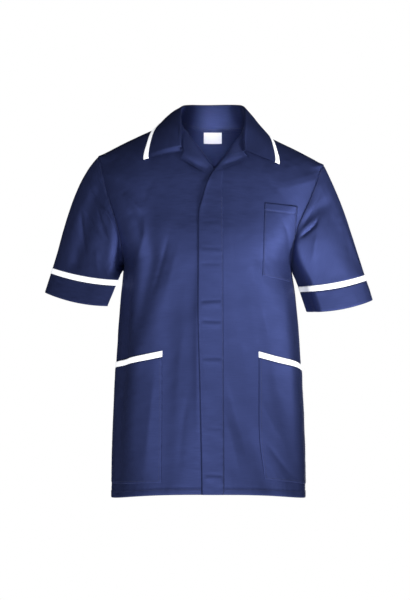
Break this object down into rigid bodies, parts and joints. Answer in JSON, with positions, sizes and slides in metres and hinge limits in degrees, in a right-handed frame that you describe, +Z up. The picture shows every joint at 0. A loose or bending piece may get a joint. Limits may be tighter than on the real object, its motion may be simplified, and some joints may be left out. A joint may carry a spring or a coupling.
{
  "type": "work tunic",
  "caption": "Short-sleeved navy work tunic with a notched open collar, concealed front fastening, patch pockets and white tape trim, hollow and filled out as worn.",
  "frame": {"origin": "between the shoulders, level with the high point of the shoulder seams at the neck, where the tunic is carried", "axes": "+Z up, the front faces -Y, the wearer's left is +X"},
  "size_m": [0.696, 0.2651, 0.8375],
  "materials": {
    "navy_twill": "navy polyester and cotton twill with a soft sheen",
    "white_tape": "matt white woven tape",
    "label_satin": "blank white satin label"
  },
  "bodies": {
    "root": {"back": "navy_twill", "chest_pocket": "navy_twill", "collar": "navy_twill", "cuff_left": "navy_twill", "cuff_right": "navy_twill", "lapel_left": "navy_twill", "lapel_right": "navy_twill", "left_front": "navy_twill", "right_front": "navy_twill", "lower_pocket_left": "navy_twill", "lower_pocket_right": "navy_twill", "placket": "navy_twill", "sleeve_left": "navy_twill", "sleeve_right": "navy_twill", "collar_tape": "white_tape", "pocket_tape_left": "white_tape", "pocket_tape_right": "white_tape", "sleeve_tape_left": "white_tape", "sleeve_tape_right": "white_tape", "neck_label": "label_satin"}
  },
  "joints": []
}
